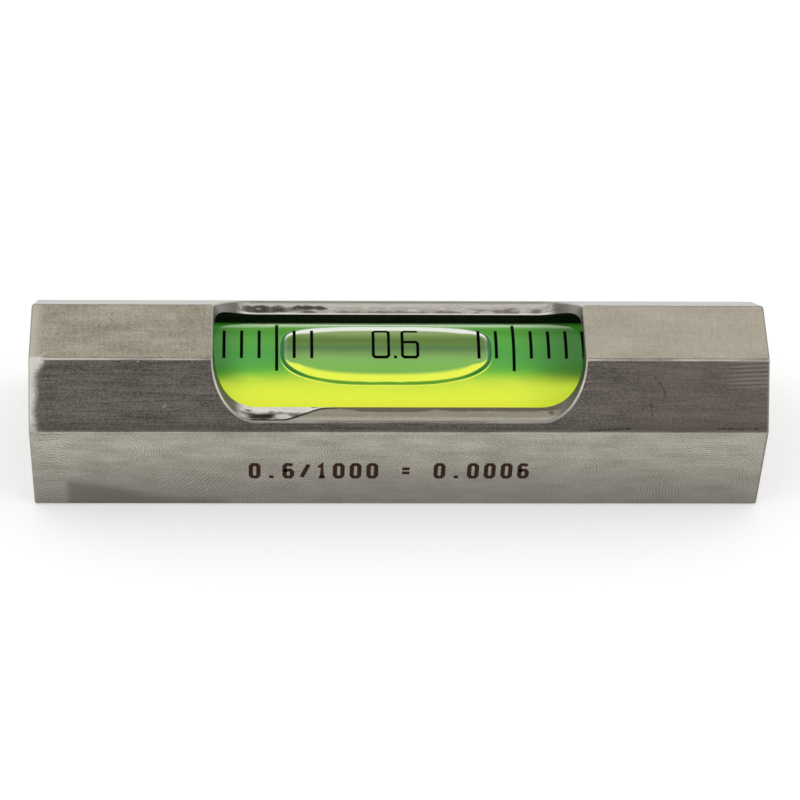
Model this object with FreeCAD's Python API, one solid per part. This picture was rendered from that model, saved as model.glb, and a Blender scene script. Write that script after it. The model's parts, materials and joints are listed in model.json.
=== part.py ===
import FreeCAD, Part

import math
import os

# A pocket-sized machinist's level: a chamfered steel bar with a spirit vial bedded in a bore along it,
# read through a window milled across the top.
#
# Frame: +X runs along the bar, +Z is up and -Y faces the reader. The origin is the centre of the base.
# All lengths are in millimetres.

Vector = FreeCAD.Vector
ALONG_BAR = Vector(1, 0, 0)

# The steel bar.
bar_length = 84.0
bar_width = 20.0
bar_height = 19.15
shoulder_drop = 6.0  # how far each 45 degree face falls from the top flat
edge_radius = 0.3  # rounding of the outer edges

# The window, one pass of an end mill across the bar.
window_length = 42.3
window_shift = -0.1  # the window's centre along the bar
ledge_rise = 3.56  # height of the ledges above the vial's axis
window_corner_radius = 5.0  # radius of the end mill
rim_break = 0.2  # deburred edge round the window

# The vial and the bore that holds it.
vial_diameter = 13.4
vial_length = 54.0
vial_shift = -0.48  # the scale's centre along the bar, set when the vial was bedded
bedding_thickness = 1.17  # ring of resin between the vial and the bore
bedding_length = 4.0  # how much of each vial end is bedded
wall_over_bore = 0.78  # steel left between the bore and the top flat
bore_lead_in = 0.3  # chamfer at each mouth of the bore
vial_end_bevel = 0.4

# The vial's cavity. Its slight barrel curve sets how far the bubble runs for a given slope.
graduation = 2.0  # spacing of the scale lines
slope_per_graduation = 0.0006  # 0.6 mm in a metre
cavity_diameter = 9.0
closed_end_wall = 3.0
plug_head_diameter = 10.4
plug_head_length = 2.5
plug_spigot_length = 2.0
plug_lead_in = 0.3

# The bubble at rest.
bubble_length = 24.3
bubble_end_length = 8.5  # how much of each end is rounded
bubble_depth = 2.4
bubble_floor_radius = 5.0  # curve of the liquid's surface across the vial
bubble_shift = -1.0  # how far the bubble stands off the scale's centre
liquid_film = 0.2  # liquid between the bubble and the wall of the cavity

# The graduation lines, paint in shallow grooves.
main_line_spread = 27.09  # distance between the two long lines
lines_inside = 2  # short lines between each long line and the middle
lines_outside = 4  # short lines beyond each long line
line_width = 0.38
line_depth = 0.12
long_line_half_angle = 31.0  # degrees either side of the vial's top
short_line_half_angle = 18.0

# The discs that close the bore.
end_disc_thickness = 2.5
end_disc_recess = 0.4
end_disc_bevel = 0.2

# Clearances.
resin_gap = 0.02
plug_gap = 0.02
liquid_gap = 0.02
bubble_gap = 0.08
paint_gap = 0.01
disc_gap = 0.02

# What follows from them.
vial_radius = vial_diameter / 2
bore_radius = vial_radius + bedding_thickness
vial_axis_height = bar_height - wall_over_bore - bore_radius
window_floor_height = vial_axis_height + ledge_rise
barrel_curve_radius = graduation / slope_per_graduation
cavity_radius = cavity_diameter / 2
vial_left = vial_shift - vial_length / 2
vial_right = vial_shift + vial_length / 2
cavity_left = vial_left + closed_end_wall
plug_shoulder = vial_right - plug_head_length
cavity_right = plug_shoulder - plug_spigot_length
bubble_centre = vial_shift + bubble_shift


def on_vial(x, radius, angle):
    """A point at a distance from the vial's axis, at an angle in degrees from straight up."""
    turn = math.radians(angle)
    return Vector(x, radius * math.sin(turn), vial_axis_height + radius * math.cos(turn))


def rod(x_start, length, radius):
    """A cylinder along the vial's axis."""
    return Part.makeCylinder(radius, length, Vector(x_start, 0, vial_axis_height), ALONG_BAR)


def cylinder_end_edges(solid):
    """The round edges at the two ends of a cylinder."""
    return [edge for edge in solid.Edges if edge.Curve.TypeId == "Part::GeomCircle"]


def bevelled_rod(x_start, length, radius, bevel):
    """A cylinder along the vial's axis, with both end edges bevelled."""
    plain = rod(x_start, length, radius)
    return plain.makeChamfer(bevel, cylinder_end_edges(plain))


def barrel(x_start, x_end, middle_radius):
    """A solid of revolution about the vial's axis, its side an arc of the barrel curve."""

    def radius_at(x):
        return middle_radius - (x - vial_shift) ** 2 / (2 * barrel_curve_radius)

    side = Part.Arc(
        on_vial(x_start, radius_at(x_start), 0),
        on_vial(vial_shift, middle_radius, 0),
        on_vial(x_end, radius_at(x_end), 0),
    ).toShape()
    start_on_axis = on_vial(x_start, 0, 0)
    end_on_axis = on_vial(x_end, 0, 0)
    outline = Part.Wire(
        [
            Part.makeLine(start_on_axis, on_vial(x_start, radius_at(x_start), 0)),
            side,
            Part.makeLine(on_vial(x_end, radius_at(x_end), 0), end_on_axis),
            Part.makeLine(end_on_axis, start_on_axis),
        ]
    )
    return Part.Face(outline).revolve(start_on_axis, ALONG_BAR, 360)


def make_bar_blank():
    """The bar before the window and bore are cut: its section, extruded, with the edges rounded."""
    half_width = bar_width / 2
    half_flat = half_width - shoulder_drop
    shoulder_height = bar_height - shoulder_drop
    section = [
        (-half_width, 0),
        (half_width, 0),
        (half_width, shoulder_height),
        (half_flat, bar_height),
        (-half_flat, bar_height),
        (-half_width, shoulder_height),
        (-half_width, 0),
    ]
    corners = [Vector(-bar_length / 2, y, z) for y, z in section]
    blank = Part.Face(Part.makePolygon(corners)).extrude(Vector(bar_length, 0, 0))
    return blank.makeFillet(edge_radius, blank.Edges)


def make_window_cutter():
    """The space the end mill sweeps across the bar, with its round lower corners."""
    cutter = Part.makeBox(
        window_length,
        2 * bar_width,
        bar_height,
        Vector(window_shift - window_length / 2, -bar_width, window_floor_height),
    )
    lower_corners = [
        edge
        for edge in cutter.Edges
        if edge.BoundBox.ZMax < window_floor_height + 0.001 and edge.BoundBox.XLength < 0.001
    ]
    return cutter.makeFillet(window_corner_radius, lower_corners)


def lies_on(surface, edge):
    """Whether an edge lies on a surface, judged at its middle."""
    middle = edge.valueAt((edge.FirstParameter + edge.LastParameter) / 2)
    return surface.distToShape(Part.Vertex(middle))[0] < 0.0001


def make_body():
    """The bar with its window, deburred all round, and the bore for the vial."""
    blank = make_bar_blank()
    cutter = make_window_cutter()
    slotted = blank.cut(cutter)
    rim = [
        edge
        for edge in slotted.Edges
        if lies_on(blank.Shells[0], edge) and lies_on(cutter.Shells[0], edge)
    ]
    slotted = slotted.makeChamfer(rim_break, rim)
    bored = slotted.cut(rod(-bar_length / 2, bar_length, bore_radius))
    mouth_radius = bore_radius + bore_lead_in
    for end in (-1, 1):
        mouth = Part.makeCone(
            mouth_radius,
            bore_radius,
            bore_lead_in,
            Vector(end * bar_length / 2, 0, vial_axis_height),
            ALONG_BAR * -end,
        )
        bored = bored.cut(mouth)
    return bored


def curved_line(x, half_angle, inner_radius, outer_radius, width):
    """One scale line: a strip that follows the vial's round top, centred on x."""
    start = x - width / 2
    inner = Part.Arc(*[on_vial(start, inner_radius, angle) for angle in (-half_angle, 0, half_angle)])
    outer = Part.Arc(*[on_vial(start, outer_radius, angle) for angle in (half_angle, 0, -half_angle)])
    outline = Part.Wire(
        [
            inner.toShape(),
            Part.makeLine(inner.EndPoint, outer.StartPoint),
            outer.toShape(),
            Part.makeLine(outer.EndPoint, inner.StartPoint),
        ]
    )
    return Part.Face(outline).extrude(Vector(width, 0, 0))


def scale_lines():
    """Place and half angle of each line, the same on both sides of the scale's centre."""
    lines = []
    for side in (-1, 1):
        for step in range(-lines_inside, lines_outside + 1):
            x = vial_shift + side * (main_line_spread / 2 + step * graduation)
            half_angle = long_line_half_angle if step == 0 else short_line_half_angle
            lines.append((x, half_angle))
    return lines


def make_graduation_marks():
    """The paint that fills the grooves, one solid a line."""
    inner_radius = vial_radius - line_depth + paint_gap
    angle_gap = math.degrees(paint_gap / vial_radius)
    paint = [
        curved_line(x, half_angle - angle_gap, inner_radius, vial_radius, line_width - 2 * paint_gap)
        for x, half_angle in scale_lines()
    ]
    return Part.makeCompound(paint)


def make_vial_barrel():
    """The clear tube: closed at the left, counterbored at the right for its plug, grooved for the scale."""
    tube = bevelled_rod(vial_left, vial_length, vial_radius, vial_end_bevel)
    tube = tube.cut(barrel(cavity_left, plug_shoulder, cavity_radius))
    tube = tube.cut(rod(plug_shoulder, plug_head_length, plug_head_diameter / 2))
    groove_floor = vial_radius - line_depth
    groove_top = vial_radius + line_depth
    for x, half_angle in scale_lines():
        tube = tube.cut(curved_line(x, half_angle, groove_floor, groove_top, line_width))
    return tube


def make_vial_plug():
    """The stepped plug: a head in the counterbore and a spigot in the cavity's mouth."""
    head = rod(plug_shoulder + plug_gap, plug_head_length - plug_gap, plug_head_diameter / 2 - plug_gap)
    spigot_drop = (plug_shoulder - vial_shift) ** 2 / (2 * barrel_curve_radius)
    spigot_radius = cavity_radius - spigot_drop - plug_gap
    spigot = bevelled_rod(cavity_right, plug_spigot_length + plug_head_length / 2, spigot_radius, plug_lead_in)
    return head.fuse(spigot).removeSplitter()


def bubble_underside(grow):
    """The bubble's underside, a body turned about a line above the vial, grown all round by a clearance.

    Its profile runs level in the middle and rises in an arc to each end. Where the body dips below the
    cavity's wall it leaves an outline with straight sides and round ends.
    """
    wall_radius = cavity_radius - liquid_film
    turning_height = wall_radius - bubble_depth + bubble_floor_radius
    half_level = bubble_length / 2 - bubble_end_length
    sweep_radius = (bubble_end_length**2 + bubble_depth**2) / (2 * bubble_depth)
    sweep_centre = bubble_floor_radius - sweep_radius
    end_radius = bubble_floor_radius - bubble_depth - grow
    grown_sweep = sweep_radius + grow
    sweep = math.acos((end_radius - sweep_centre) / grown_sweep)
    half_length = half_level + grown_sweep * math.sin(sweep)

    def below_line(x, radius):
        return on_vial(bubble_centre + x, turning_height - radius, 0)

    def on_sweep(side, angle):
        return below_line(
            side * (half_level + grown_sweep * math.sin(angle)),
            sweep_centre + grown_sweep * math.cos(angle),
        )

    left_arc = Part.Arc(on_sweep(-1, sweep), on_sweep(-1, sweep / 2), on_sweep(-1, 0))
    right_arc = Part.Arc(on_sweep(1, 0), on_sweep(1, sweep / 2), on_sweep(1, sweep))
    outline = Part.Wire(
        [
            Part.makeLine(below_line(-half_length, 0), left_arc.StartPoint),
            left_arc.toShape(),
            Part.makeLine(left_arc.EndPoint, right_arc.StartPoint),
            right_arc.toShape(),
            Part.makeLine(right_arc.EndPoint, below_line(half_length, 0)),
            Part.makeLine(below_line(half_length, 0), below_line(-half_length, 0)),
        ]
    )
    return Part.Face(outline).revolve(below_line(0, 0), ALONG_BAR, 360)


def bubble_space(grow):
    """The room a bubble takes up, grown by a clearance: its underside, cut off by the roof above it."""
    roof = barrel(cavity_left, cavity_right, cavity_radius - liquid_film + grow)
    return roof.common(bubble_underside(grow))


def make_bubble():
    """The bubble at rest, with a film of liquid over it."""
    return bubble_space(0)


def make_spirit():
    """The liquid that fills the cavity round the bubble."""
    filling = barrel(cavity_left + liquid_gap, cavity_right - liquid_gap, cavity_radius - liquid_gap)
    return filling.cut(bubble_space(bubble_gap))


def make_bedding(x_start):
    """A ring of resin between the vial and the bore."""
    outer = rod(x_start, bedding_length, bore_radius - resin_gap)
    inner = rod(x_start, bedding_length, vial_radius + resin_gap)
    return outer.cut(inner)


def make_end_disc(side):
    """A disc pressed into one mouth of the bore, set back a little from the bar's end."""
    outer_face = side * (bar_length / 2 - end_disc_recess)
    inner_face = outer_face - side * end_disc_thickness
    return bevelled_rod(
        min(outer_face, inner_face), end_disc_thickness, bore_radius - disc_gap, end_disc_bevel
    )


nodes = {
    "body": make_body(),
    "vial_barrel": make_vial_barrel(),
    "vial_plug": make_vial_plug(),
    "spirit": make_spirit(),
    "bubble": make_bubble(),
    "graduation_marks": make_graduation_marks(),
    "bedding_left": make_bedding(vial_left + vial_end_bevel),
    "bedding_right": make_bedding(vial_right - vial_end_bevel - bedding_length),
    "end_disc_left": make_end_disc(-1),
    "end_disc_right": make_end_disc(1),
}

os.makedirs("parts", exist_ok=True)
for name, shape in nodes.items():
    shape.exportStep("parts/" + name + ".step")
    box = shape.BoundBox
    print(name, "solids", len(shape.Solids), "valid", shape.isValid(), "volume", round(shape.Volume, 3))
    print("  x", round(box.XMin, 3), round(box.XMax, 3), "z", round(box.ZMin, 3), round(box.ZMax, 3))
free_left = bubble_centre - bubble_length / 2 - cavity_left
free_right = cavity_right - bubble_centre - bubble_length / 2
print("bubble can run left", round(free_left, 3), "and right", round(free_right, 3))
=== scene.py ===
import json
import math
from types import SimpleNamespace

import bpy
import numpy as np
from mathutils import Matrix, Vector


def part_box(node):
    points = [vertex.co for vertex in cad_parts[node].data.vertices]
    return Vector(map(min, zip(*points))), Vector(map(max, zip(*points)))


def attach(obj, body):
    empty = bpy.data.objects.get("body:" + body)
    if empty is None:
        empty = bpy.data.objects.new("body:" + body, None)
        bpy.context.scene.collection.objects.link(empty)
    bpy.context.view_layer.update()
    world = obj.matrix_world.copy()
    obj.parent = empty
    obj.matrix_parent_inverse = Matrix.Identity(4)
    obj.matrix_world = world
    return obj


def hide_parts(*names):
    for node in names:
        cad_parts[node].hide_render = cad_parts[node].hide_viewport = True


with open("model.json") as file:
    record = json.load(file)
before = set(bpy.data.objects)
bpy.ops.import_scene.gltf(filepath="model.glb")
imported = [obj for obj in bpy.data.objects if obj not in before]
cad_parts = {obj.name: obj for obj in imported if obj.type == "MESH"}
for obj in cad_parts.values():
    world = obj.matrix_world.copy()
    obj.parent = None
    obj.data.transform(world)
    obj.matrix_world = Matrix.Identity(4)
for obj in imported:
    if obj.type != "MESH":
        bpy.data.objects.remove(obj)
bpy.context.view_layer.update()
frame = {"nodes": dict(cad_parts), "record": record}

MM = 0.001

# ---------------------------------------------------------------- sizes, in metres, from the frame

body_high = np.array(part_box("body")[1])
vial_low, vial_high = (np.array(corner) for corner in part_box("vial_barrel"))
spirit_low, spirit_high = (np.array(corner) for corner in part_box("spirit"))
bubble_low, bubble_high = (np.array(corner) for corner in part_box("bubble"))
marks_low, marks_high = (np.array(corner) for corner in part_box("graduation_marks"))
window_low, window_high = (np.array(corner) for corner in frame["record"]["physics"]["openings"][0]["box_m"])

half_length, half_width, bar_height = body_high
vial_radius = vial_high[1]
axis_height = (vial_low[2] + vial_high[2]) / 2
scale_middle = (marks_low[0] + marks_high[0]) / 2
bubble_middle = (bubble_low[0] + bubble_high[0]) / 2
bubble_half_length = (bubble_high[0] - bubble_low[0]) / 2

shoulder_drop = 6.0 * MM  # from the top flat down to the chamfers' lower edges
bore_radius = 7.87 * MM
window_side_room = 0.15 * MM  # the stated opening stops this short of the window's end walls
window_left = window_low[0] - window_side_room
window_right = window_high[0] + window_side_room
window_corner_radius = 5.0 * MM
ledge_height = axis_height + 3.56 * MM

glass_radius = vial_radius - 0.03 * MM  # the painted marks stay on top of the glass
liquid_radius = 4.48 * MM
bubble_radius = 4.5 * MM

# the sizes that the finishes use, in millimetres
height_mm = bar_height / MM
axis_mm = axis_height / MM
bore_mm = bore_radius / MM
ledge_mm = ledge_height / MM
left_mm = window_left / MM
right_mm = window_right / MM


# ---------------------------------------------------------------- meshes


def add_piece(name, vertices, faces, material, body, smooth=True):
    """Makes a mesh object from arrays of points and faces, and hangs it on a body."""
    mesh = bpy.data.meshes.new(name)
    mesh.from_pydata([tuple(point) for point in vertices], [], [tuple(face) for face in faces])
    mesh.update()
    mesh.polygons.foreach_set("use_smooth", [smooth] * len(mesh.polygons))
    mesh.materials.append(material)
    piece = bpy.data.objects.new(name, mesh)
    bpy.context.scene.collection.objects.link(piece)
    if body is not None:
        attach(piece, body)
    return piece


def grid_faces(rows, columns):
    """Quads between neighbouring points of a rows by columns grid, whose last column joins the first."""
    row = np.arange(rows - 1)[:, None]
    column = np.arange(columns)[None, :]
    following = (column + 1) % columns
    quads = [
        row * columns + column,
        row * columns + following,
        (row + 1) * columns + following,
        (row + 1) * columns + column,
    ]
    return np.stack(quads, axis=-1).reshape(-1, 4)


def round_axis(x, radius, angle):
    """Points about the vial's axis, from an x, a radius and an angle from straight up.

    y is the radius times the sine of the angle, and z the axis height plus the radius times its cosine.
    """
    return np.stack([x, radius * np.sin(angle), axis_height + radius * np.cos(angle)], axis=-1)


def turned_rod(profile, around):
    """Points and faces of a closed body turned about the vial's axis.

    The profile is a list of (x, radius) from one flat end to the other, and each ring has the given
    number of points, at even angles.
    """
    profile = np.array(profile)
    angle = np.linspace(0, 2 * math.pi, around, endpoint=False)[None, :]
    x = np.repeat(profile[:, :1], around, axis=1)
    points = round_axis(x, profile[:, 1:], angle).reshape(-1, 3)
    last_ring = (len(profile) - 1) * around
    ends = [range(around), range(last_ring + around - 1, last_ring - 1, -1)]
    return points, [*grid_faces(len(profile), around)[:, ::-1], *ends]


def unit(ways):
    """The ways with a length of 1."""
    return ways / np.linalg.norm(ways, axis=-1, keepdims=True)


def strip(path, width, closed, lay):
    """Points and faces of a thin flat strip along a path, with mitred corners.

    The path is a list of (u, v). Each of its points gets four corners: half the width to either side
    along the mitre, at level 0 on the surface and at level 1 a little under it. The function lay turns
    arrays of u, v and level into points in space.
    """
    path = np.array(path, dtype=float)
    before = np.roll(path, 1, axis=0)
    after = np.roll(path, -1, axis=0)
    if not closed:
        before[0] = 2 * path[0] - path[1]
        after[-1] = 2 * path[-1] - path[-2]
    way_in = unit(path - before)
    both_ways = way_in + unit(after - path)
    mitre = unit(np.stack([-both_ways[:, 1], both_ways[:, 0]], axis=1))
    cosine = np.abs(mitre[:, 1] * way_in[:, 0] - mitre[:, 0] * way_in[:, 1])
    sharpest = 0.5
    offset = mitre * (width / 2 / np.clip(cosine, sharpest, 1))[:, None]
    left = path + offset
    right = path - offset
    corners = np.stack([left, right, right, left], axis=1)
    levels = np.broadcast_to(np.array([0, 0, 1, 1]), corners.shape[:2])
    points = lay(corners[..., 0], corners[..., 1], levels).reshape(-1, 3)

    count = len(path)
    here = 4 * np.arange(count if closed else count - 1)[:, None]
    there = (here + 4) % (4 * count)
    corner = np.arange(4)[None, :]
    following = (corner + 1) % 4
    sides = [here + corner, there + corner, there + following, here + following]
    faces = np.stack(sides, axis=-1).reshape(-1, 4)
    if not closed:
        first = np.arange(4)
        last = 4 * count - 1 - first
        faces = np.concatenate([faces, [first, last]])
    return points, faces


def join_parts(parts):
    """One array of points and one of faces from several."""
    starts = np.cumsum([0] + [len(points) for points, _ in parts[:-1]])
    points = np.concatenate([points for points, _ in parts])
    faces = np.concatenate([faces + start for (_, faces), start in zip(parts, starts)])
    return points, faces


# ---------------------------------------------------------------- material maths


class Value:
    """A number or colour in a material, wrapped so that Python's operators add Math nodes."""

    def __init__(self, nodes, socket):
        self.nodes = nodes
        self.socket = socket

    def __add__(self, other):
        return self.nodes.maths("ADD", self, other)

    def __sub__(self, other):
        return self.nodes.maths("SUBTRACT", self, other)

    def __mul__(self, other):
        return self.nodes.maths("MULTIPLY", self, other)

    def __truediv__(self, other):
        return self.nodes.maths("DIVIDE", self, other)

    def __rsub__(self, other):
        return self.nodes.maths("SUBTRACT", other, self)

    def __rtruediv__(self, other):
        return self.nodes.maths("DIVIDE", other, self)

    __radd__ = __add__
    __rmul__ = __mul__


class Nodes:
    """A node tree under construction."""

    def __init__(self, tree):
        self.tree = tree
        self.tree.nodes.clear()

    def node(self, kind, settings=None, values=None, output=0):
        """Adds a node, its settings first and then the values or links of its sockets.

        Gives the numbered output as a Value, or the node itself where output is None.
        """
        node = self.tree.nodes.new(kind)
        for key, setting in (settings or {}).items():
            if key == "stops":
                ramp = node.color_ramp
                for element, (place, colour) in zip(ramp.elements, (setting[0], setting[-1])):
                    element.position = place
                    element.color = (*colour, 1.0)
                for place, colour in setting[1:-1]:
                    ramp.elements.new(place).color = (*colour, 1.0)
            else:
                setattr(node, key, setting)
        for key, value in (values or {}).items():
            socket = node.inputs[key]
            if isinstance(value, Value):
                self.tree.links.new(value.socket, socket)
            else:
                socket.default_value = value
        if output is None:
            return node
        return Value(self, node.outputs[output])

    def maths(self, operation, *values, clamp=False):
        settings = {"operation": operation, "use_clamp": clamp}
        return self.node("ShaderNodeMath", settings, dict(enumerate(values)))

    def absolute(self, value):
        return self.maths("ABSOLUTE", value)

    def distance(self, u, v):
        """The distance from 0, 0 to u, v."""
        return self.maths("SQRT", u * u + v * v)

    def waves(self, value, pitch):
        """A wave of -1 to 1 that repeats every pitch."""
        return self.maths("SINE", value * (2 * math.pi / pitch))

    def share(self, value, middle=0.5):
        """The value plus a middle, held between 0 and 1."""
        return self.maths("ADD", value, middle, clamp=True)

    def smooth(self, value, low, high):
        """0 below low, 1 above high, and an even ease between; low may be above high."""
        if low > high:
            return 1 - self.smooth(value, high, low)
        return self.node(
            "ShaderNodeMapRange",
            {"interpolation_type": "SMOOTHSTEP", "clamp": True},
            {"Value": value, "From Min": low, "From Max": high},
        )

    def close_to(self, value, middle, outer, inner):
        """1 within inner of a middle value, 0 beyond outer, and an even ease between."""
        return self.smooth(self.absolute(value - middle), outer, inner)

    def mix(self, share, first, second):
        """A colour that is the first where the share is 0 and the second where it is 1."""
        return self.node(
            "ShaderNodeMix",
            {"data_type": "RGBA", "clamp_factor": True},
            {0: share, 6: self.colour(first), 7: self.colour(second)},
            output=2,
        )

    def colour(self, value):
        return value if isinstance(value, Value) else (*value, 1.0)

    def split(self, vector):
        """The x, y and z of a vector."""
        node = self.node("ShaderNodeSeparateXYZ", values={0: vector}, output=None)
        return [Value(self, socket) for socket in node.outputs]

    def place(self):
        """The x, y and z of a point of the object, in millimetres."""
        return [part * (1 / MM) for part in self.split(self.node("ShaderNodeTexCoord", output=3))]

    def noise(self, place, stretch=(1.0, 1.0, 1.0), detail=2.0, roughness=0.5, scale=1.0):
        """Noise of 0 to 1 at a place whose x, y and z are each multiplied by their stretch."""
        stretched = [part if times == 1.0 else part * times for part, times in zip(place, stretch)]
        point = self.node("ShaderNodeCombineXYZ", values=dict(enumerate(stretched)))
        values = {"Vector": point, "Scale": scale, "Detail": detail, "Roughness": roughness}
        return self.node("ShaderNodeTexNoise", values=values)

    def uneven(self, place, stretch=(1.0, 1.0, 1.0), detail=2.0, roughness=0.5):
        """The same noise less a half, so that it lies about 0."""
        return self.noise(place, stretch, detail, roughness) - 0.5

    def bump(self, height, strength, distance):
        values = {"Height": height, "Strength": strength, "Distance": distance}
        return self.node("ShaderNodeBump", values=values)


class Finish(Nodes):
    """A material under construction."""

    def __init__(self, name):
        self.material = bpy.data.materials.new(name)
        self.material.use_nodes = True
        super().__init__(self.material.node_tree)

    def surface(self, **values):
        """The Principled shader, with a value or a link for each named socket, as the material's surface."""
        shader = self.node(
            "ShaderNodeBsdfPrincipled",
            values={key.replace("_", " "): value for key, value in values.items()},
        )
        self.node("ShaderNodeOutputMaterial", values={"Surface": shader}, output=None)
        return self.material


# ---------------------------------------------------------------- tones


def shade(red, green, blue):
    """A linear colour from its display values of 0 to 255."""
    channels = np.array([red, green, blue]) / 255
    return tuple(np.where(channels <= 0.04045, channels / 12.92, ((channels + 0.055) / 1.055) ** 2.4))


white = (1.0, 1.0, 1.0, 1.0)
black = (0.0, 0.0, 0.0, 1.0)

# the steel's tones, some of them painted light and shade, which the finishes below mix by their patterns
tone = SimpleNamespace(
    end_dark=shade(128, 125, 118),
    end_light=shade(150, 147, 139),
    top_dark=shade(148, 140, 124),
    top_light=shade(200, 192, 174),
    top_bright=shade(212, 204, 187),
    top_worn=shade(232, 225, 208),
    chamfer_dark=shade(114, 108, 101),
    chamfer_light=shade(184, 175, 165),
    chamfer_warm=shade(164, 148, 138),
    chamfer_low=shade(108, 100, 92),
    # painted highlight: the rear chamfer painted paler than the front one
    rear_chamfer_lit_dark=shade(158, 155, 147),
    rear_chamfer_lit_light=shade(206, 204, 197),
    ridge=shade(196, 186, 174),
    worn_strip=shade(244, 238, 226),
    side_dark=shade(128, 124, 114),
    side_light=shade(186, 182, 171),
    side_low=shade(112, 108, 100),
    # painted shadow, low at the left of the front face
    side_painted_shadow=shade(102, 99, 91),
    # painted shade, on the end edges and the rear upper edges
    edge_painted_shade=shade(104, 99, 91),
    # wear and a painted highlight, on the front upper edges
    edge_worn_and_painted_highlight=shade(240, 233, 222),
    edge_lower=shade(190, 184, 174),
    # painted shadow along the foot
    foot=shade(78, 74, 67),
    scratch=shade(52, 46, 42),
    corner_scratch=shade(246, 242, 232),
    speck=shade(245, 238, 215),
    pit=shade(50, 46, 40),
    wall_dark=shade(98, 94, 87),
    wall_light=shade(142, 138, 130),
    # painted shadow on the front ledge by the vial
    front_ledge_painted_shadow=shade(120, 110, 95),
    front_ledge_light=shade(168, 160, 144),
    front_ledge_outer=shade(206, 199, 187),
    # painted light and shade for the dished patch's curve
    dished_painted_light=shade(250, 247, 240),
    dished_painted_shade=shade(142, 136, 128),
    blob_light=shade(238, 234, 226),
    blob_dark=shade(66, 60, 54),
    seam=shade(50, 44, 38),
    # painted shade in the hollow
    hollow=shade(46, 40, 35),
    front_spot=shade(90, 84, 76),
    rear_ledge_dark=shade(198, 192, 181),
    rear_ledge_light=shade(220, 214, 204),
    rear_ledge_outer=shade(126, 120, 112),
    lump=shade(52, 46, 41),
    glint=shade(236, 233, 226),
    # painted highlight along the rear ledge's inner edge
    rear_ledge_edge_highlight=shade(248, 246, 240),
    crease=shade(244, 242, 236),
    rear_spot=shade(70, 64, 58),
    ledge_grain=shade(84, 78, 70),
    ledge_sparkle=shade(236, 232, 222),
    # painted highlight along the window's rim
    rim=shade(196, 192, 185),
    # painted shade in the bore
    bore=shade(24, 27, 19),
    end_arris=shade(190, 186, 176),
    disc_dark=shade(132, 129, 122),
    disc_light=shade(166, 163, 156),
    disc_edge=shade(190, 186, 178),
)


# ---------------------------------------------------------------- the bar's steel


class Bar:
    """Where a point of the bar lies, in millimetres, how far it is from each face, and the grain there."""

    def __init__(self, f):
        self.at = x, y, z = f.place()
        self.x, self.y, self.z = x, y, z
        self.across = f.absolute(y)
        half_width_mm = half_width / MM
        chamfer_sum = height_mm + half_width_mm - shoulder_drop / MM
        self.below_top = height_mm - z
        self.below_chamfer = (chamfer_sum - z - self.across) * math.sqrt(0.5)
        self.from_side = half_width_mm - self.across
        self.from_end = half_length / MM - f.absolute(x)
        # each face's finish fades out this deep under it, so that the next face keeps its own
        faded, full = 0.07, 0.02
        depths = (self.below_top, self.below_chamfer, self.from_side)
        self.on_top, self.on_chamfer, self.on_side = (f.smooth(depth, faded, full) for depth in depths)
        self.in_front = f.smooth(y, 0.5, -0.5)
        self.from_axis = f.distance(y, z - axis_mm)
        corner_mm = window_corner_radius / MM
        floor_reach = (right_mm - left_mm) / 2 - corner_mm
        beside = f.maths("MAXIMUM", f.absolute(x - (left_mm + right_mm) / 2) - floor_reach, 0.0)
        under = f.maths("MAXIMUM", ledge_mm + corner_mm - z, 0.0)
        self.outside_window = f.distance(beside, under) - corner_mm
        self.on_window = f.close_to(self.outside_window, 0.0, 0.06, 0.03)

        self.fine_streaks = f.uneven(self.at, (0.22, 6.5, 6.5), 3.0, 0.65)
        self.wide_streaks = f.uneven(self.at, (0.08, 1.9, 1.9))
        self.grain = f.uneven(self.at, (3.2, 4.5, 4.5), 3.0, 0.7)
        self.cloud = f.uneven(self.at, (0.22, 0.5, 0.5))
        self.speckle = f.uneven(self.at, (6.5, 7.5, 7.5), 1.0)


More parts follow.
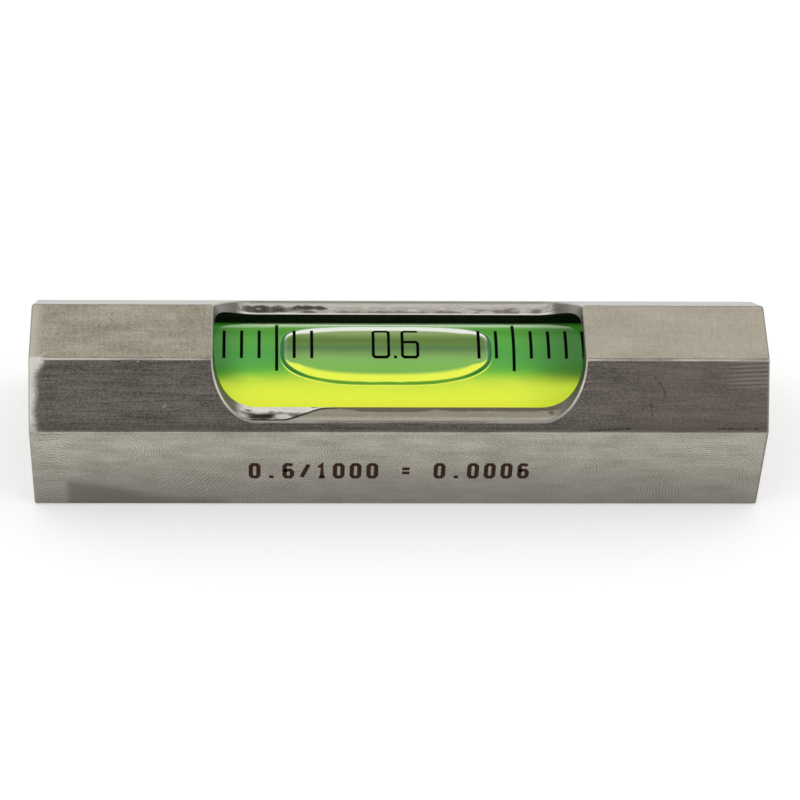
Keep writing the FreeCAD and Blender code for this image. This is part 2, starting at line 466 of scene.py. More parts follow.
def milling_arcs(f, bar):
    """The arcs that the cutter left on the front face, from about -1 to 1."""
    x, z = bar.x, bar.z
    wobble = f.uneven(bar.at, (0.9, 1.0, 0.9)) * 0.55

    def rings(centre_x, centre_z, pitch, inner, outer):
        """Waves in rings round a centre, faded in past the inner radius and out before the outer one."""
        fade_in, fade_out = 1.0, 1.5
        radius = f.distance(x - centre_x, z - centre_z)
        faded = f.smooth(radius, inner, inner + fade_in) * f.smooth(radius, outer, outer - fade_out)
        return f.waves(radius + wobble, pitch) * faded

    arch = (x + 39.4) * (x + 39.4) * (1 / 9)
    left_end = f.waves(z + arch + wobble * 1.6, 0.46) * f.smooth(x, -36.9, -38.2)
    upper_left = rings(-32.6, 9.8, 0.34, 1.6, 6.2) * f.smooth(x * 0.8 - z * 0.6, -32.2, -30.6)
    lower_left = rings(-31.5, 11.5, 0.44, 6.2, 15.0) * f.smooth(z, 7.2, 5.2) * f.smooth(x, -30.0, -27.5)
    lower_middle = rings(-7.0, -5.5, 0.45, 7.6, 15.0) * f.smooth(x, -7, -11)
    upper_middle = rings(-13.5, 8.5, 0.34, 2.2, 7.4) * f.smooth(x, -11.5, -9.5) * f.smooth(z, 7.0, 9.0)
    upper_right = rings(13.0, 5.5, 0.36, 4.0, 9.5) * f.smooth(z, 6.5, 9.0)
    right_hook = rings(19.0, 6.0, 0.4, 1.5, 5.5) * f.smooth(x, 20.5, 22.0)
    right_swirl = rings(36.6, 2.6, 0.37, 1.5, 9.5) * f.smooth(x - z, 34.0, 31.0)
    right_end = rings(46.5, 6.0, 0.36, 3.6, 8.6)
    arcs = left_end + upper_left + lower_left * 1.2 + lower_middle + upper_middle * 0.8
    arcs = arcs + upper_right * 0.6 + right_hook * 0.8 + right_swirl + right_end * 0.7
    patches = f.smooth(f.noise(bar.at, (0.25, 1.0, 0.3), 1.0), 0.3, 0.55)
    broken = f.smooth(f.noise(bar.at, (1.3, 1.0, 1.6), 2.0, 0.6), 0.36, 0.6)
    return arcs * (patches * 0.5 + 0.5) * (broken * 0.9 + 0.3)


def near_lines(f, u, v, lines):
    """1 along each line between two points of a face, 0 beyond its width, with soft edges and ends.

    A line is its start, its end and its half width.
    """
    total = 0.0
    for (u0, v0), (u1, v1), width in lines:
        length = math.hypot(u1 - u0, v1 - v0)
        du, dv = (u1 - u0) / length, (v1 - v0) / length
        along = (u - u0) * du + (v - v0) * dv
        beside = f.absolute((u - u0) * dv - (v - v0) * du)
        ends = f.smooth(along, -0.1, 0.15) * f.smooth(along, length + 0.1, length - 0.15)
        total = f.smooth(beside, width, width * 0.3) * ends + total
    return total


def top_colour(f, bar):
    """The top flat: warm and mottled, brighter to the right, with a paler left end."""
    brushed = f.uneven(bar.at, (2.4, 0.35, 1.0))
    mottle = bar.grain * 1.4 + bar.cloud * 1.1 + bar.fine_streaks * 0.8 + brushed * 0.5 + bar.speckle * 1.4
    colour = f.mix(f.share(mottle), tone.top_dark, tone.top_light)
    colour = f.mix(f.smooth(bar.x, -16, 26) * 0.42, colour, tone.top_bright)
    pale_end = f.smooth(bar.x + bar.grain + bar.cloud, -40.3, -41.7)
    return f.mix(pale_end * 0.5, colour, tone.top_worn)


def chamfer_colour(f, bar, worn_strip):
    """The chamfers: brown and streaked in front, painted pale behind as a painted highlight, worn at the left
    end, ridged at the right.
    """
    streaks = bar.fine_streaks * 1.5 + bar.wide_streaks * 0.5 + bar.grain * 1.5 + bar.speckle * 1.7
    colour = f.mix(f.share(streaks + bar.cloud * 0.6), tone.chamfer_dark, tone.chamfer_light)
    warm = f.smooth(bar.x + bar.cloud * 12, 14, 34) * bar.in_front
    colour = f.mix(warm * 0.4, colour, tone.chamfer_warm)
    # the rear chamfer: the same streaks, painted paler as a painted highlight
    rear_streaks = f.share(bar.fine_streaks * 1.6 + bar.grain * 0.8)
    rear = f.mix(rear_streaks, tone.rear_chamfer_lit_dark, tone.rear_chamfer_lit_light)
    colour = f.mix(1 - bar.in_front, colour, rear)
    colour = f.mix(worn_strip * 0.95, colour, tone.worn_strip)
    low = f.smooth(bar.below_top, 4.7, 5.7) * (bar.cloud * 1.4 + 0.55)
    colour = f.mix(low * 0.6, colour, tone.chamfer_low)
    ridge_line = bar.below_top + bar.x * 0.03 + f.maths("SINE", bar.x * 20) * 0.025
    at_right = f.smooth(bar.x, 35.5, 39.5) * f.smooth(bar.below_top, 2.7, 2.1)
    ridges = at_right * (f.waves(ridge_line, 0.34) * 0.7 + 0.3)
    return f.mix(f.share(ridges * bar.in_front, 0.0), colour, tone.ridge)


def side_colour(f, bar, arcs):
    """The long sides: grey, darker towards the foot, with a painted shadow low at the left of the front one.
    """
    mottle = bar.grain * 1.4 + bar.cloud * 0.9 + bar.wide_streaks * 0.4 + bar.fine_streaks * 0.6
    mottle = mottle + arcs * 0.34 + bar.speckle * 1.4
    colour = f.mix(f.share(mottle), tone.side_dark, tone.side_light)
    colour = f.mix(f.smooth(bar.z, 11.5, 1.0) * 0.55, colour, tone.side_low)
    # a painted shadow: the front face darkened low at the left
    shadow_top = f.smooth(bar.x, -24.0, -38.0) * 3.2 + 1.0
    dimmed = f.smooth(shadow_top - bar.z + bar.cloud * 2.5 + arcs * 0.3, -1.0, 1.0)
    dimmed = dimmed * f.smooth(bar.x, -38.6, -37.6) * f.smooth(bar.x, -18.5, -21.0) * bar.in_front
    return f.mix(dimmed * 0.75, colour, tone.side_painted_shadow)


def upper_edge_wear_and_highlight(f, bar):
    """1 along the edges between the top flat and the chamfers, most at the left end: wear, with a painted
    highlight in front and painted shade behind.
    """
    edge = f.smooth(bar.below_chamfer, 0.09, 0.03) * f.smooth(bar.below_top, 0.26, 0.16)
    edge = edge * f.smooth(bar.below_top, 0.02, 0.08)
    return f.share(edge * (bar.cloud * 1.6 + f.smooth(bar.x, -30, -41) * 0.5 + 0.75), 0.0)


def edges_worn_and_painted_light(f, bar, colour, upper_edge):
    """The colour with worn edges between the faces, painted highlights and painted shade on some of them, and
    a painted shadow as a dark line along the foot.
    """
    # painted shade: the end edges at the right darkened
    end_edge = f.smooth(bar.from_end, 0.34, 0.16) * f.smooth(bar.from_end, 0.0, 0.04)
    end_edge = end_edge * f.smooth(bar.x, -10, 10) * (1 - bar.on_top)
    colour = f.mix(end_edge * 0.75, colour, tone.edge_painted_shade)
    # the upper edges: wear, with a painted highlight in front and painted shade behind
    colour = f.mix(upper_edge, colour, f.mix(bar.in_front, tone.edge_painted_shade, tone.edge_worn_and_painted_highlight))
    lower_edge = f.smooth(bar.from_side, 0.24, 0.12) * f.smooth(bar.below_chamfer, 0.14, 0.05)
    colour = f.mix(lower_edge * (bar.cloud + 0.35), colour, tone.edge_lower)
    # a painted shadow: a dark line along the foot
    foot = f.smooth(bar.z, 0.32, 0.1) * f.smooth(bar.from_side, 0.4, 0.1)
    return f.mix(foot * 0.85, colour, tone.foot)


def scratches_and_pits(f, bar, colour):
    """The colour with the few scratches, specks and pits of the front."""
    scratches = [
        ((28.9, 17.7), (29.9, 16.7), 0.12),
        ((29.9, 16.7), (30.1, 15.9), 0.18),
        ((28.5, 15.6), (28.6, 14.5), 0.14),
        ((36.0, 13.5), (41.0, 13.45), 0.1),
        ((21.4, 13.3), (26.3, 13.5), 0.12),
        ((-12.0, 13.55), (-4.0, 13.5), 0.06),
    ]
    specks = [((-29.75, 18.85), (-29.6, 18.8), 0.16), ((-26.9, 15.1), (-26.5, 15.4), 0.07)]
    pits = [
        ((-4.35, 2.0), (-4.25, 1.95), 0.13),
        ((38.9, 7.0), (39.0, 7.0), 0.11),
        ((-13.7, 6.5), (-13.6, 6.45), 0.08),
    ]
    broken = f.smooth(bar.grain + bar.speckle, -0.05, 0.12)
    scratched = near_lines(f, bar.x, bar.z, scratches) * broken * bar.on_chamfer * bar.in_front
    colour = f.mix(scratched * 0.85, colour, tone.scratch)
    corner = near_lines(f, bar.x, bar.z, [((-41.9, 18.45), (-40.8, 19.1), 0.07)]) * bar.on_chamfer
    corner = corner + near_lines(f, bar.x, bar.y, [((-40.9, -4.0), (-39.9, -3.2), 0.06)]) * bar.on_top
    colour = f.mix(corner * bar.in_front * 0.8, colour, tone.corner_scratch)
    colour = f.mix(near_lines(f, bar.x, bar.z, specks) * bar.in_front, colour, tone.speck)
    pitted = near_lines(f, bar.x, bar.z, pits) * bar.in_front * bar.on_side
    return f.mix(pitted * 0.8, colour, tone.pit)


def front_ledge_colour(f, bar, out, wander, blobs):
    """The front ledge: a dished patch at the left, shown by painted light and shade, behind a rising seam,
    then a thin painted shadow by the vial.
    """
    x = bar.x
    # a painted shadow: a thin dark lens along the vial
    lens = f.smooth(x, -6.5, -3.5) * f.smooth(x, 4.5, 2.0) * 0.35 + f.smooth(x, 3.0, 6.0) * 0.25 + 0.2
    band = f.smooth(out + wander * 0.6 - lens, 0.05, 0.2)
    colour = f.mix(band, tone.front_ledge_painted_shadow, tone.front_ledge_light)
    colour = f.mix(f.smooth(out + wander * 0.4, 1.3, 1.6) * 0.6, colour, tone.front_ledge_outer)
    # the dished patch: painted light near the vial and painted shade outward, for its curve
    dished = f.mix(f.smooth(out + wander * 0.5, 0.55, 1.0), tone.dished_painted_light, tone.dished_painted_shade)
    dished = f.mix(f.smooth(blobs, 0.5, 0.62) * 0.9, dished, tone.blob_light)
    dished = f.mix(f.smooth(blobs, 0.42, 0.32) * 0.8, dished, tone.blob_dark)
    within_seam = f.smooth(x, -13.6, -8.2) * -1.75 + 2.0 - out + wander * 0.35
    colour = f.mix(f.smooth(within_seam, 0.0, 0.2) * f.smooth(x, -7.4, -8.6), colour, dished)
    seam = f.close_to(within_seam, 0.08, 0.2, 0.06) * f.smooth(x, -17.8, -16.8) * f.smooth(x, -6.5, -9.0)
    colour = f.mix(seam * 0.95, colour, tone.seam)
    # painted shade: a dark line in the hollow at the left
    hollow = f.close_to(out + wander * 0.35, 1.35, 0.45, 0.2)
    hollow = hollow * f.smooth(x, -17.9, -16.9) * f.smooth(x, -13.6, -14.8)
    colour = f.mix(hollow * 0.9, colour, tone.hollow)
    spot = near_lines(f, x, out, [((16.9, 0.7), (17.5, 1.1), 0.35)])
    return f.mix(spot * 0.7, colour, tone.front_spot)


def rear_ledge_colour(f, bar, out, wander, blobs):
    """The rear ledge: a long dark hollow at the left, broken lumps along the rest, and a painted highlight
    along its inner edge.
    """
    x = bar.x
    ripple = f.uneven((x, 5.0, 0.0), (0.42, 1.0, 1.0))
    at_left = f.smooth(x, -18.6, -17.9) * f.smooth(x, -7.2, -9.2)
    at_right = f.smooth(x, 6.0, 9.0) * f.smooth(x, 17.6, 16.6)
    reach = at_left * 0.75 + at_right * 0.25 + ripple * 1.5 + 0.5
    strength = at_left * 0.3 + f.smooth(ripple, -0.2, 0.05) * 0.4 + 0.2
    lumps = f.smooth(out, 0.16, 0.34) * f.smooth(out - reach, 0.16, -0.1) * strength
    outward = f.smooth(out + wander * 0.4, 0.9, 1.4)
    colour = f.mix(outward, tone.rear_ledge_dark, tone.rear_ledge_light)
    colour = f.mix(f.smooth(out, 1.5, 1.9) * 0.6, colour, tone.rear_ledge_outer)
    colour = f.mix(lumps, colour, tone.lump)
    glint = f.smooth(blobs, 0.52, 0.64) * f.smooth(out, 1.3, 0.9)
    colour = f.mix(glint * 0.6, colour, tone.glint)
    # a painted highlight along the inner edge
    colour = f.mix(f.smooth(out + ripple * 0.3, 0.24, 0.12), colour, tone.rear_ledge_edge_highlight)
    creases = [((-18.5, 1.6), (-18.1, 0.5), 0.16), ((18.3, 1.6), (17.8, 0.4), 0.16)]
    colour = f.mix(near_lines(f, x, out, creases), colour, tone.crease)
    spot = near_lines(f, x, out, [((18.7, 1.2), (18.9, 0.9), 0.3)])
    return f.mix(spot * 0.8, colour, tone.rear_spot)


def window_colour(f, bar):
    """The window: milled end walls, and ledges dressed by hand."""
    walls = f.mix(f.share(bar.grain * 0.8 + bar.cloud * 1.4), tone.wall_dark, tone.wall_light)
    out = bar.across - math.sqrt(bore_mm**2 - (ledge_mm - axis_mm) ** 2)
    wander = f.uneven((bar.x, 0.0, 0.0), (0.35, 1.0, 1.0), 3.0, 0.6)
    blobs = f.noise((bar.x, out, 3.0), (0.45, 1.1, 1.0), 1.0, 0.4)
    front = front_ledge_colour(f, bar, out, wander, blobs)
    rear = rear_ledge_colour(f, bar, out, wander, blobs)
    ledges = f.mix(bar.in_front, rear, front)
    grain = bar.grain * 1.2 + bar.speckle * 0.9 + bar.fine_streaks * 1.2
    ledges = f.mix(f.share(grain * 0.5, 0.08), ledges, tone.ledge_grain)
    ledges = f.mix(f.smooth(bar.grain - bar.speckle, 0.3, 0.37) * 0.5, ledges, tone.ledge_sparkle)
    return f.mix(f.smooth(bar.z, ledge_mm + 0.75, ledge_mm + 0.1), walls, ledges)


def rim_highlight(f, bar):
    """1 along the broken rim of the window, where a painted highlight goes, less at the middle of the front
    and low down.
    """
    rim = f.smooth(bar.outside_window, 0.02, 0.05) * f.smooth(bar.outside_window, 0.22, 0.14)
    rim = rim * f.smooth(bar.from_axis, bore_mm + 0.3, bore_mm + 0.6)
    dimmed = f.close_to(bar.x, 0.5, 11.0, 8.0) * bar.in_front
    rim = rim * (1 - dimmed * 0.7) * (f.smooth(bar.z, 19.1, 18.7) * 0.45 + 0.55)
    return f.share(rim * (bar.cloud * 1.2 + bar.grain + 0.7), 0.0)


def steel_finish():
    """Milled and ground steel: each face of the bar has its own tone, tool marks and wear, with painted
    highlights, painted shade and painted shadows on some faces, edges and ledges.
    """
    f = Finish("bar_steel")
    bar = Bar(f)
    arcs = milling_arcs(f, bar) * bar.in_front * bar.on_side
    corner = f.smooth(bar.z, 17.6, 19.0) * 0.9
    worn_strip = f.smooth(bar.x + bar.grain * 1.4 + bar.cloud - corner, -40.7, -41.75) * bar.in_front
    upper_edge = upper_edge_wear_and_highlight(f, bar)

    colour = f.mix(f.share(bar.grain * 0.8 + bar.cloud), tone.end_dark, tone.end_light)
    colour = f.mix(bar.on_top, colour, top_colour(f, bar))
    colour = f.mix(bar.on_chamfer, colour, chamfer_colour(f, bar, worn_strip))
    colour = f.mix(bar.on_side, colour, side_colour(f, bar, arcs))
    colour = edges_worn_and_painted_light(f, bar, colour, upper_edge)
    colour = scratches_and_pits(f, bar, colour)
    colour = f.mix(bar.on_window, colour, window_colour(f, bar))
    # a painted highlight along the window's rim
    colour = f.mix(rim_highlight(f, bar), colour, tone.rim)

    # the bore: painted shade, dark, rough and not metallic
    in_bore = f.smooth(bar.from_axis, bore_mm + 0.07, bore_mm + 0.04)
    in_bore = in_bore * f.smooth(bar.outside_window, 0.03, 0.06)
    colour = f.mix(in_bore, colour, tone.bore)
    at_end = 1 - f.smooth(bar.from_end, 0.02, 0.1)
    colour = f.mix(at_end * (1 - bar.on_side) * 0.3, colour, tone.end_arris)

    roughness = f.share(bar.grain * 0.12 + bar.fine_streaks * 0.12 + in_bore * 0.35, 0.36)
    streaked = bar.on_chamfer * 0.8 + bar.on_top * 0.3 + bar.on_side * 0.3
    relief = bar.fine_streaks * streaked + bar.grain * 0.35 + arcs * 0.35
    normal = f.bump(relief, 0.35, 0.02 * MM)
    pale = f.maths("MAXIMUM", worn_strip * bar.on_chamfer * 0.9, upper_edge * bar.in_front * 0.7)
    metallic = (1 - in_bore) * (1 - f.share(pale, 0.0))
    return f.surface(Base_Color=colour, Metallic=metallic, Roughness=roughness, Normal=normal)


# ---------------------------------------------------------------- the other finishes


def disc_finish():
    """Turned steel: fine rings round the bar's axis, a little worn."""
    f = Finish("disc_steel")
    x, y, z = f.place()
    radius = f.distance(y, z - axis_mm)
    rings = f.uneven((radius, 0.0, 0.0), (7.0, 1.0, 1.0), 3.0, 0.7)
    mottle = f.uneven((x, y, z), (1.0, 0.6, 0.6), 3.0, 0.6)
    colour = f.mix(f.share(rings * 1.2 + mottle * 1.2), tone.disc_dark, tone.disc_light)
    colour = f.mix(f.smooth(radius, 7.3, 7.6) * 0.5, colour, tone.disc_edge)
    normal = f.bump(rings + mottle * 0.3, 0.3, 0.02 * MM)
    return f.surface(Base_Color=colour, Metallic=1.0, Roughness=mottle * 0.15 + 0.36, Normal=normal)


def vial_glass_finish():
    """Clear polished acrylic."""
    f = Finish("clear_acrylic")
    return f.surface(Base_Color=white, Roughness=0.015, IOR=1.49, Transmission_Weight=1.0)


def by_angle(f, angle, stops):
    """A colour that changes with an angle of -180 to 180 degrees through a list of (angle, r, g, b)."""
    ramp = [(0.5 + degrees / 360, shade(*display)) for degrees, *display in stops]
    return f.node("ShaderNodeValToRGB", {"stops": ramp}, {"Fac": angle * (1 / 360) + 0.5})


def angle_round_vial(f, y, z):
    """Degrees from straight up about the vial's axis, positive towards the back."""
    return f.maths("ARCTAN2", y, z - axis_mm) * (180 / math.pi)


def lit_from_within(f, colour):
    """A dyed or clear body that shows its colour mostly by a painted glow of its own and partly by the light
    on it.
    """
    lit_share, glow_share = 0.35, 0.9
    lit = f.node("ShaderNodeMix", {"data_type": "RGBA"}, {0: lit_share, 6: black, 7: colour}, output=2)
    glow = {"Emission_Color": colour, "Emission_Strength": glow_share}
    return f.surface(Base_Color=lit, Roughness=0.6, Specular_IOR_Level=0.0, **glow)


def liquid_finish():
    """Dyed liquid with painted light: yellow low at the front, deep green above and behind, a painted
    reflection near the top at the back, and painted shade near the window's ends.
    """
    f = Finish("green_liquid")
    x, y, z = f.place()
    angle = angle_round_vial(f, y, z)
    swirl = f.uneven((x, y, z), (0.22, 0.5, 0.5)) * 13.0
    swirl = swirl + f.smooth(x, -15.0, -20.5) * 2.0 - f.smooth(x, 15.0, 20.5) * 3.0
    # painted light and shade round the vial, standing in for the light the liquid gathers and bends
    bands = [
        (-100, 223, 235, 69),
        (-66, 230, 240, 69),
        (-56, 222, 237, 67),
        (-48, 210, 230, 67),
        (-42, 196, 222, 66),
        (-37, 166, 208, 64),
        (-32, 132, 193, 60),
        (-27, 103, 177, 61),
        (-22, 86, 166, 63),
        (-14, 76, 158, 61),
        (0, 70, 155, 58),
        (10, 74, 158, 52),
        (20, 76, 156, 44),
        (30, 68, 148, 42),
        (45, 78, 150, 46),
        (58, 92, 164, 58),
        (72, 36, 91, 13),
        (90, 13, 53, 13),
    ]
    glow = by_angle(f, angle + swirl * f.smooth(angle, 30, 0), bands)
    # a painted reflection of the glass, near the top at the back
    sheen = f.close_to(angle, 63, 4.0, 1.5) * f.smooth(x, -20.0, -14.0) * f.smooth(x, 20.5, 15.0)
    glow = f.mix(sheen * 0.85, glow, shade(186, 214, 156))
    # painted shade near the window's ends
    dim = f.smooth(x - left_mm, 4.5, 0.0) * 0.7 + f.smooth(right_mm - x, 9.0, 0.5) * 0.85
    dim_colour = f.mix(f.smooth(angle, -52, -30), shade(192, 216, 54), shade(40, 100, 30))
    return lit_from_within(f, f.mix(dim, glow, dim_colour))


def bubble_finish():
    """The bubble's curved skin: painted bands of light across it and a painted dark rim where it bends the
    light away.
    """
    f = Finish("air_bubble")
    x, y, z = f.place()
    inward, turn = (
        f.node("ShaderNodeAttribute", {"attribute_name": name}, output=2) for name in ("inward", "turn")
    )
    wave = f.uneven((x, y, z), (0.25, 0.4, 0.4)) * 5.0
    bands = [
        (-20, 123, 178, 82),
        (-10, 121, 170, 82),
        (-3, 108, 147, 76),
        (3, 84, 120, 65),
        (7, 79, 116, 57),
        (12, 88, 123, 42),
        (20, 78, 111, 30),
        (27, 102, 133, 56),
        (34, 134, 158, 96),
        (50, 152, 172, 122),
    ]
    skin = by_angle(f, angle_round_vial(f, y, z) + wave, bands)

    # painted light: a yellow band inside the front rim, and a painted highlight with a green line inside the
    # rear rim
    yellow_reach = f.smooth(turn, -12, -36) * 0.58 + 0.64
    soft_edge = f.smooth(turn, -20, -80) * 0.14 + 0.12
    yellow = f.smooth((inward - yellow_reach) / soft_edge, 1.0, -1.0) * f.smooth(turn, -11, -19)
    skin = f.mix(yellow, skin, shade(230, 242, 78))
    rear = f.smooth(turn, 14, 24)
    rear_reach = f.smooth(turn, 16, 80) * 0.78 + 0.57
    skin = f.mix(f.smooth(inward - rear_reach, 0.15, -0.35) * rear, skin, shade(236, 239, 230))
    skin = f.mix(f.smooth(inward, 0.42, 0.15) * rear * 0.8, skin, shade(90, 132, 70))
    tip = f.smooth(turn, -34, -12) * f.smooth(turn, 46, 20)
    # a faint painted highlight near the tips
    pale_glint_line = f.close_to(inward + wave * 0.03, 0.78, 0.22, 0.05) * tip
    skin = f.mix(pale_glint_line * 0.13, skin, shade(176, 196, 168))

    # painted shade: the dark ring along the rim, and a thin line outside it, a painted highlight at the front
    ring_tones = [
        (-90, 92, 152, 40),
        (-70, 62, 138, 40),
        (-45, 46, 122, 42),
        (-15, 34, 108, 56),
        (15, 30, 104, 58),
        (40, 36, 96, 44),
    ]
    wide = f.smooth(turn, -80, -20) * 0.12 - f.smooth(turn, 14, 44) * 0.3 + 0.46
    ring = f.smooth(inward, 0.08, 0.16) * f.smooth(inward - wide, 0.06, -0.1) * f.smooth(turn, 76, 44)
    skin = f.mix(ring, skin, by_angle(f, turn, ring_tones))
    outermost = f.smooth(inward, 0.14, 0.07)
    skin = f.mix(outermost * f.smooth(turn, -8, -34), skin, shade(226, 242, 96))
    skin = f.mix(outermost * f.smooth(turn, -34, -8), skin, shade(92, 166, 74))
    return lit_from_within(f, skin)


def engraving_finish():
    """The burnt brown of a mark made by laser."""
    f = Finish("laser_mark")
    burn = f.noise(f.place(), (6.0, 6.0, 6.0), 3.0, 0.6)
    colour = f.mix(burn, shade(36, 18, 10), shade(62, 36, 24))
    return f.surface(Base_Color=colour, Roughness=0.8, Specular_IOR_Level=0.15)


def plain_finish(name, colour, roughness, specular):
    """An even surface with a little mottling, down to a slightly darker colour."""
    darkest = 0.85
    f = Finish(name)
    mottle = f.noise(f.place(), detail=3.0, roughness=0.6, scale=2.5)
    mottled = f.mix(mottle, tuple(channel * darkest for channel in colour), colour)
    return f.surface(Base_Color=mottled, Roughness=roughness, Specular_IOR_Level=specular)


# ---------------------------------------------------------------- the vial


def make_vial_glass(material):
    """The clear barrel and its plug as one bright rod, with bevelled ends."""
    bevel = 0.4 * MM
    rings, around = 12, 192
    between = np.linspace(vial_low[0] + bevel, vial_high[0] - bevel, rings)
    profile = [
        (vial_low[0], glass_radius - bevel),
        *[(x, glass_radius) for x in between],
        (vial_high[0], glass_radius - bevel),
    ]
    points, faces = turned_rod(profile, around)
    piece = add_piece("vial_glass", points, faces, material, "level")
    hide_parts("vial_barrel", "vial_plug")


def make_liquid(material):
    """The liquid's filling of the cavity, a plain rod."""
    rings, around = 24, 160
    profile = [(x, liquid_radius) for x in np.linspace(spirit_low[0], spirit_high[0], rings)]
    points, faces = turned_rod(profile, around)
    piece = add_piece("spirit_filling", points, faces, material, "level")
    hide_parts("spirit")


def make_bubble(material):
    """The bubble: a lens between the cavity's roof and the liquid's surface.

    A point is given by its share of the way from the middle to the rim and its angle round the outline.
    The outline, laid out flat, is a superellipse with the bubble's half length one way and its half
    width round the vial the other, squarer at the back than at the front. Above, the skin follows the
    roof. Below, it sinks by the bubble's depth times the square root of 1 less the share squared, and less
    deep towards the sides. Two attributes hold each point's distance from the outline, in millimetres,
    and its bearing from the end: -90 towards the front, 0 at the tip, 90 to the back.
    """
    front_angle = math.radians(47.6)
    rear_angle = math.radians(58.0)
    front_power, rear_power = 2.8, 3.2
    skin_half_length = bubble_half_length + 0.15 * MM
    depth = 2.4 * MM
    depth_at_sides = 0.4  # as a share of the depth
    tip_length = 4.4
    rings = 72
    around = 280

    share = np.sin(np.linspace(0, math.pi / 2, rings))[:, None]
    turn = np.linspace(0, 2 * math.pi, around, endpoint=False)[None, :]
    power = np.where(np.sin(turn) < 0, front_power, rear_power)
    along = np.sign(np.cos(turn)) * np.abs(np.cos(turn)) ** (2 / power)
    sideways = np.sign(np.sin(turn)) * np.abs(np.sin(turn)) ** (2 / power)
    x = bubble_middle + skin_half_length * share * along
    angle = np.where(sideways < 0, front_angle, rear_angle) * share * sideways
    top = round_axis(x, bubble_radius, angle)
    sink = depth * np.sqrt(np.clip(1 - share**2, 0, 1))
    bottom = top.copy()
    bottom[..., 2] -= sink * (depth_at_sides + (1 - depth_at_sides) * np.cos(share * sideways * math.pi / 2))

    # the points: top without its middle, bottom without its middle and the rim, then both middles
    rows = rings - 1
    points = [top[1:].reshape(-1, 3), bottom[1:-1].reshape(-1, 3), top[:1, 0], bottom[:1, 0]]
    points = np.concatenate(points)
    top_middle, bottom_middle = len(points) - 2, len(points) - 1
    below = np.arange(rows * around).reshape(rows, around)
    below[:-1] += rows * around
    below = below.reshape(-1)
    top_faces = grid_faces(rows, around)[:, ::-1]
    bottom_faces = below[top_faces][:, ::-1]
    ring = np.arange(around)
    following = (ring + 1) % around
    top_fan = np.stack([np.full(around, top_middle), ring, following], axis=-1)
    bottom_fan = np.stack([np.full(around, bottom_middle), below[following], below[ring]], axis=-1)
    faces = [*top_faces, *bottom_faces, *top_fan, *bottom_fan]
    piece = add_piece("bubble_skin", points, faces, material, "bubble")

    flat_x = (x - bubble_middle) / MM
    flat_y = bubble_radius * angle / MM
    flat = np.stack([flat_x, flat_y], axis=-1)
    rim = flat[-1]
    inward = np.stack([np.linalg.norm(row[:, None] - rim, axis=-1).min(axis=1) for row in flat])
    into_tip = np.clip(np.abs(flat_x) - (skin_half_length / MM - tip_length), 1e-6, None)
    bearing = np.degrees(np.arctan2(flat_y, into_tip))
    for name, values in (("inward", inward), ("turn", bearing)):
        spread = [values[1:].reshape(-1), values[1:-1].reshape(-1), values[0, :1], values[0, :1]]
        attribute = piece.data.attributes.new(name, "FLOAT", "POINT")
        attribute.data.foreach_set("value", np.concatenate(spread))
    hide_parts("bubble")


def round_corners(path, cut):
    """A closed path with each corner replaced by two points a short way from it."""
    path = np.array(path, dtype=float)
    back = path + unit(np.roll(path, 1, axis=0) - path) * cut
    on = path + unit(np.roll(path, -1, axis=0) - path) * cut
    return np.stack([back, on], axis=1).reshape(-1, 2)


def finer(path, closed):
    """The path with more points along it, so that it bends with the glass."""
    longest = 0.25
    path = np.array(path, dtype=float)
    ends = np.concatenate([path, path[:1]]) if closed else path
    points = []
    for start, end in zip(ends[:-1], ends[1:]):
        steps = max(1, math.ceil(math.hypot(*(end - start)) / longest))
        points.append(start + (end - start) * np.arange(steps)[:, None] / steps)
    if not closed:
        points.append(ends[-1:])
    return np.concatenate(points)


def make_scale_figures(material):
    """The value of one division, 0.6, printed on the vial at the middle of its scale."""
    stroke, cut, margin = 0.34, 0.22, 0.15
    wide = 1.76
    tall = vial_radius * math.radians(18) * 2 / MM
    low, high = margin - tall / 2, tall / 2 - margin
    middle = high - tall * 0.44
    nought_left, six_left = -2.52, 0.8
    dot_height = low + 0.02
    proud, sunk = 0.02 * MM, 0.04 * MM

    nought = round_corners([(0, low), (0, high), (wide, high), (wide, low)], cut)
    six = [(wide, high), (cut, high), (0, high - cut), (0, low + cut), (cut, low), (wide - cut, low)]
    six += [(wide, low + cut), (wide, middle - cut), (wide - cut, middle), (0, middle)]
    dot = [(-stroke / 2, dot_height), (stroke / 2, dot_height)]

    def on_glass(u, v, level):
        radius = glass_radius + np.where(level == 0, proud, -sunk)
        return round_axis(scale_middle + u * MM, radius, v * MM / vial_radius)

    parts = [
        strip(finer(nought + (nought_left, 0), True), stroke, True, on_glass),
        strip(finer(np.array(six) + (six_left, 0), False), stroke, False, on_glass),
        strip(dot, stroke, False, on_glass),
    ]
    points, faces = join_parts(parts)
    return add_piece("scale_figures", points, faces, material, "level", smooth=False)


# ---------------------------------------------------------------- the bar's marking


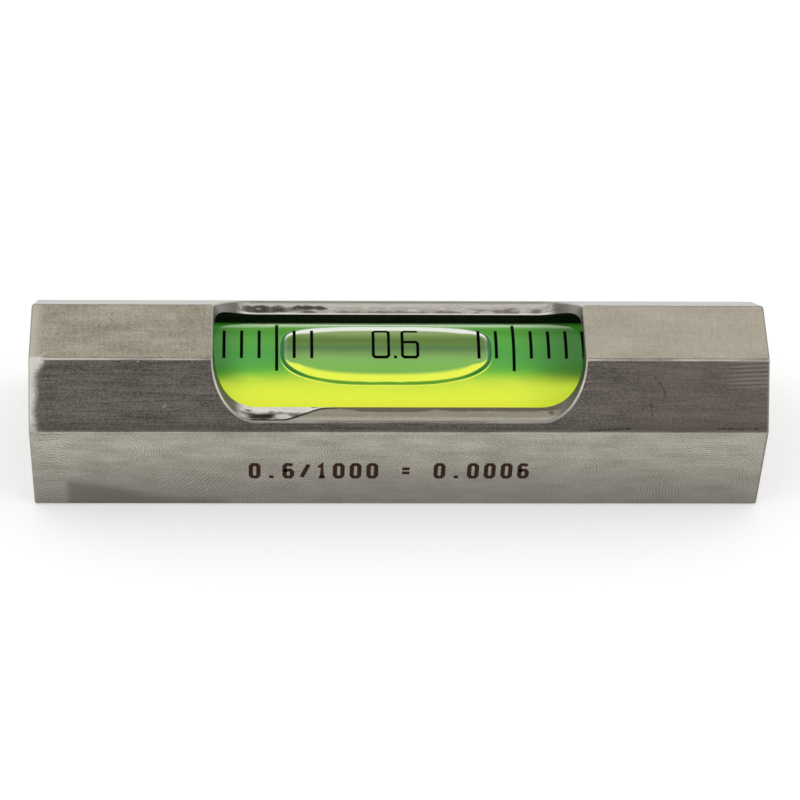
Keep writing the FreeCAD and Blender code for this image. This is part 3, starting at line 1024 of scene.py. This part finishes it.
def make_engraving(material):
    """Plain numbers marked on the front face: the slope of one division as a fraction."""
    nought = [(0, 0.14), (0, 0.86), (0.25, 1), (0.75, 1), (1, 0.86), (1, 0.14), (0.75, 0), (0.25, 0)]
    six = [(0.95, 0.88), (0.75, 1), (0.25, 1), (0, 0.86), (0, 0.14), (0.25, 0), (0.75, 0), (1, 0.14)]
    six += [(1, 0.42), (0.75, 0.56), (0.25, 0.56), (0.02, 0.44)]
    glyphs = {
        "0": [(nought, True)],
        "6": [(six, False)],
        "1": [([(0.12, 0.76), (0.5, 1), (0.5, 0)], False), ([(0.1, 0), (0.9, 0)], False)],
        ".": [([(0.2, 0.02), (0.8, 0.02)], False)],
        "/": [([(0.05, 0), (0.95, 1)], False)],
        "=": [([(0, 0.34), (1, 0.34)], False), ([(0, 0.66), (1, 0.66)], False)],
        " ": [],
    }
    wide, tall, pitch, stroke = 0.86, 2.3, 1.93, 0.5
    left, foot = -16.95, 5.08
    proud, sunk = 0.012 * MM, 0.038 * MM

    def on_front(u, v, level):
        return np.stack([u * MM, -half_width - np.where(level == 0, proud, -sunk), v * MM], axis=-1)

    parts = []
    for place, character in enumerate("0.6/1000 = 0.0006"):
        for path, closed in glyphs[character]:
            laid = np.array(path) * (wide, tall) + (left + place * pitch, foot)
            parts.append(strip(laid, stroke, closed, on_front))
    points, faces = join_parts(parts)
    return add_piece("value_mark", points, faces, material, "level", smooth=False)


# ---------------------------------------------------------------- dress the model


def dress(material, *nodes):
    """Gives nodes of the frame their material."""
    for node in nodes:
        mesh = frame["nodes"][node].data
        mesh.materials.clear()
        mesh.materials.append(material)


dress(steel_finish(), "body")
black_paint = plain_finish("black_paint", (0.002, 0.002, 0.0025), roughness=0.7, specular=0.02)
dress(black_paint, "graduation_marks")
bedding_resin = plain_finish("bedding_resin", (0.03, 0.03, 0.028), roughness=0.7, specular=0.5)
dress(bedding_resin, "bedding_left", "bedding_right")
dress(disc_finish(), "end_disc_left", "end_disc_right")
make_vial_glass(vial_glass_finish())
make_liquid(liquid_finish())
make_bubble(bubble_finish())
make_scale_figures(black_paint)
make_engraving(engraving_finish())


# ---------------------------------------------------------------- floor, light and camera


def add_floor():
    """A wide pale floor under the level."""
    size = 3.0
    corners = [(-size, -size, 0), (size, -size, 0), (size, size, 0), (-size, size, 0)]
    f = Finish("floor_white")
    pale = (0.95, 0.95, 0.95, 1.0)
    material = f.surface(
        Base_Color=pale, Roughness=0.9, Specular_IOR_Level=0.1, Emission_Color=pale, Emission_Strength=0.38
    )
    floor = add_piece("floor", corners, [(0, 1, 2, 3)], material, None, smooth=False)


def set_sky():
    """A pale surround, brighter towards both ends of the level, and darker in front and low behind."""
    world = bpy.data.worlds.new("studio")
    world.use_nodes = True
    bpy.context.scene.world = world
    sky = Nodes(world.node_tree)
    direction = sky.node("ShaderNodeTexCoord", output=0)
    x, y, z = sky.split(direction)
    plain, less_in_front, less_behind, more_at_ends = 0.8, 0.53, 0.55, 0.55
    rise, outer, inner = (math.radians(degrees) for degrees in (42, 50, 24))
    from_front = sky.node(
        "ShaderNodeVectorMath",
        {"operation": "DOT_PRODUCT"},
        {0: direction, 1: (0.0, -math.cos(rise), math.sin(rise))},
        output=1,
    )
    in_front = sky.smooth(from_front, math.cos(outer), math.cos(inner))
    low_behind = sky.smooth(z, 0.62, 0.3) * sky.smooth(y, 0.0, 0.3)
    at_ends = sky.smooth(sky.absolute(x), 0.5, 0.75)
    strength = plain - in_front * less_in_front - low_behind * less_behind + at_ends * more_at_ends
    background = sky.node("ShaderNodeBackground", values={"Color": white, "Strength": strength})
    sky.node("ShaderNodeOutputWorld", values={"Surface": background}, output=None)


def add_camera():
    """The camera in front of the level and above it, turned and rolled a little."""
    elevation = math.radians(49.753)
    yaw = math.radians(-3.401)
    roll = math.radians(2.699)
    distance = 388.2 * MM
    flat = math.cos(elevation)
    back = Vector((math.sin(yaw) * flat, -math.cos(yaw) * flat, math.sin(elevation)))
    level_right = Vector((math.cos(yaw), math.sin(yaw), 0))
    level_up = back.cross(level_right)
    right = level_right * math.cos(roll) + level_up * math.sin(roll)
    up = level_up * math.cos(roll) - level_right * math.sin(roll)
    place = Vector((0, 0, bar_height / 2)) + back * distance
    optics = bpy.data.cameras.new("camera")
    optics.sensor_width = 36.0
    optics.lens = 150.5
    optics.shift_x = 0.0033
    optics.shift_y = -0.018
    optics.clip_start = 0.01
    camera = bpy.data.objects.new("camera", optics)
    bpy.context.scene.collection.objects.link(camera)
    turned = Matrix((right, up, back)).transposed()
    camera.matrix_world = Matrix.Translation(place) @ turned.to_4x4()
    bpy.context.scene.camera = camera


add_floor()
set_sky()
add_camera()
bpy.context.scene.view_settings.view_transform = "Standard"
